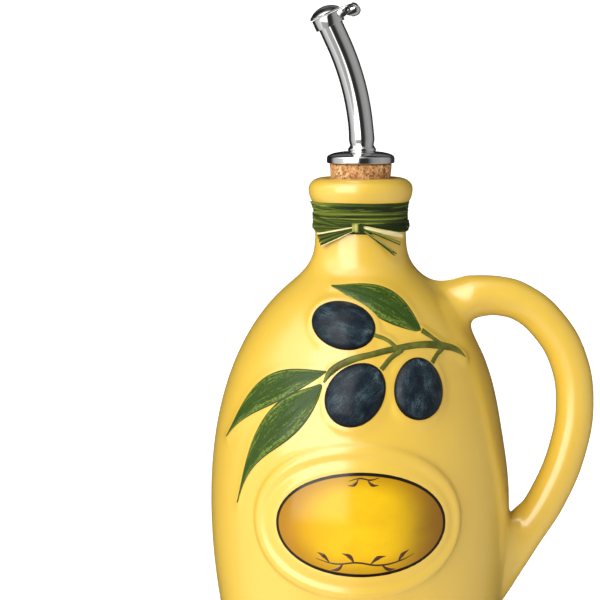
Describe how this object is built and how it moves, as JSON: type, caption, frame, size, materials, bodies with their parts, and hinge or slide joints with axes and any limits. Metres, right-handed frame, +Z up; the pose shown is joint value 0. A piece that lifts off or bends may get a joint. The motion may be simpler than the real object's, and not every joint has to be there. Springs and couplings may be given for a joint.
{
  "type": "ceramic oil bottle",
  "caption": "Glazed ceramic oil bottle with a ring handle, a moulded olive branch, a raffia tie and a cork that holds a curved steel pourer with a hinged, weighted lid.",
  "frame": {"origin": "centre of the flat base, on the bottle's axis", "axes": "+Z up along the bottle's axis; +X towards the handle; the plaque and the branch face -Y; the spout leans to -X"},
  "size_m": [0.1473, 0.1172, 0.2665],
  "materials": {
    "glaze": "glossy butter-yellow glaze, with the branch, olives and plaque painted under it",
    "cork": "fine-grained pressed cork, matt, with dark pits",
    "steel": "polished steel",
    "raffia": "dyed green raffia strands with a slight waxy sheen"
  },
  "bodies": {
    "bottle": {"ceramic_bottle": "glaze", "cork": "cork", "spout_disc": "steel", "spout_tube": "steel", "spout_collar": "steel", "hinge_pin": "steel", "raffia_tie": "raffia"},
    "lid": {"spout_lid": "steel"}
  },
  "joints": [
    {"name": "lid_hinge", "type": "hinge", "parent": "bottle", "child": "lid", "pos_m": [-0.00536, 0, 0.26453], "axis": [0, 1, 0], "range_deg": [0, 50]}
  ]
}
